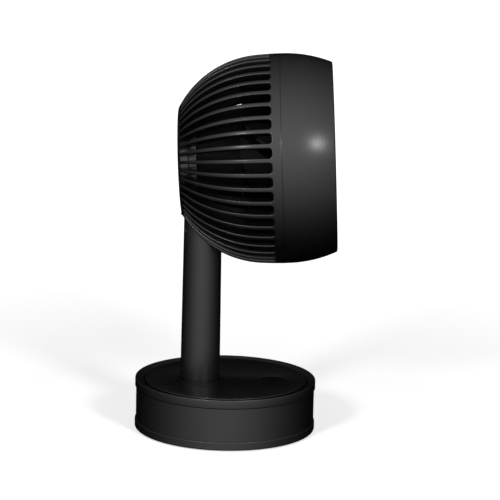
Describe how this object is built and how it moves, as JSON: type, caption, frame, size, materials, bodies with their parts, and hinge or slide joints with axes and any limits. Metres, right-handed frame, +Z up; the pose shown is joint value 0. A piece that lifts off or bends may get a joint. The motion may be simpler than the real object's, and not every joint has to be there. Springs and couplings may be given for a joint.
{
  "type": "desk air circulator fan",
  "caption": "Desk air circulator with a round base, a slim pole and a deep barrel head: ribbed rear cage, smooth front shell; it swivels and tilts.",
  "frame": {"origin": "the middle of the base on the table, under the middle rubber foot", "axes": "+Z up, -Y towards the front, where the air leaves, +X to the left seen from the front"},
  "size_m": [0.194, 0.1868, 0.3559],
  "materials": {
    "satin_black": "satin moulded",
    "inner_black": "matte moulded",
    "impeller_black": "satin moulded",
    "rubber": "matte",
    "steel": "bright zinc plated",
    "ballast_steel": "bare",
    "zinc": "die cast",
    "acetal": "natural",
    "board": "solder mask",
    "contact_brass": "bright",
    "winding": "enamelled wire"
  },
  "bodies": {
    "base": {"foot_cover": "satin_black", "rubber_feet": "rubber", "cover_screws": "steel", "ballast_plate": "ballast_steel", "ballast_screws": "steel", "base_housing": "satin_black", "glide_ring": "acetal", "swivel_motor": "steel", "swivel_motor_screws": "steel", "control_board": "board", "board_screws": "steel", "power_inlet": "inner_black", "inlet_contact": "contact_brass"},
    "pinion": {"swivel_pinion": "acetal"},
    "turntable": {"turntable": "inner_black", "turntable_gear": "acetal", "gear_screws": "steel", "top_ring": "satin_black", "ring_screws": "steel", "top_plate": "satin_black", "pole": "satin_black", "pole_screws": "steel", "pole_knuckle": "inner_black", "knuckle_screws": "steel", "button_board": "board", "tact_switch": "inner_black"},
    "button": {"power_button": "inner_black", "switch_plunger": "acetal"},
    "head": {"tilt_bracket": "zinc", "bracket_screws": "steel", "tilt_axle": "steel", "tilt_nut": "zinc", "friction_washers": "acetal", "motor_pod": "inner_black", "pod_cap": "satin_black", "pod_screws": "steel", "motor_stator": "winding", "motor_board": "board", "motor_bearings": "steel", "rear_grille": "satin_black", "front_shell": "satin_black", "air_duct": "inner_black", "shell_screws": "steel", "front_grille": "satin_black", "centre_cap": "satin_black"},
    "rotor": {"motor_rotor": "steel", "motor_shaft": "steel", "impeller": "impeller_black", "impeller_nut": "impeller_black"}
  },
  "joints": [
    {"name": "turntable_swivel", "type": "hinge", "parent": "base", "child": "turntable", "pos_m": [0, 0, 0.04], "axis": [0, 0, 1], "range_deg": [-45, 45]},
    {"name": "pinion_spin", "type": "hinge", "parent": "base", "child": "pinion", "pos_m": [-0.06, 0, 0.021], "axis": [0, 0, 1], "range_deg": [-260, 260]},
    {"name": "button_press", "type": "slide", "parent": "turntable", "child": "button", "axis": [0, 0, -1], "range_m": [0, 0.0008], "stiffness_N_per_m": 400, "springref_m": -0.001},
    {"name": "head_tilt", "type": "hinge", "parent": "turntable", "child": "head", "pos_m": [0, 0.024, 0.2546], "axis": [-1, 0, 0], "range_deg": [-13, 26]},
    {"name": "impeller_spin", "type": "hinge", "parent": "head", "child": "rotor", "pos_m": [0, 0.024, 0.2546], "axis": [0, -0.9984, 0.0567], "continuous": true}
  ],
  "couplings": [
    {"joint": "pinion_spin", "follows": "turntable_swivel", "ratio": -5.6667}
  ]
}
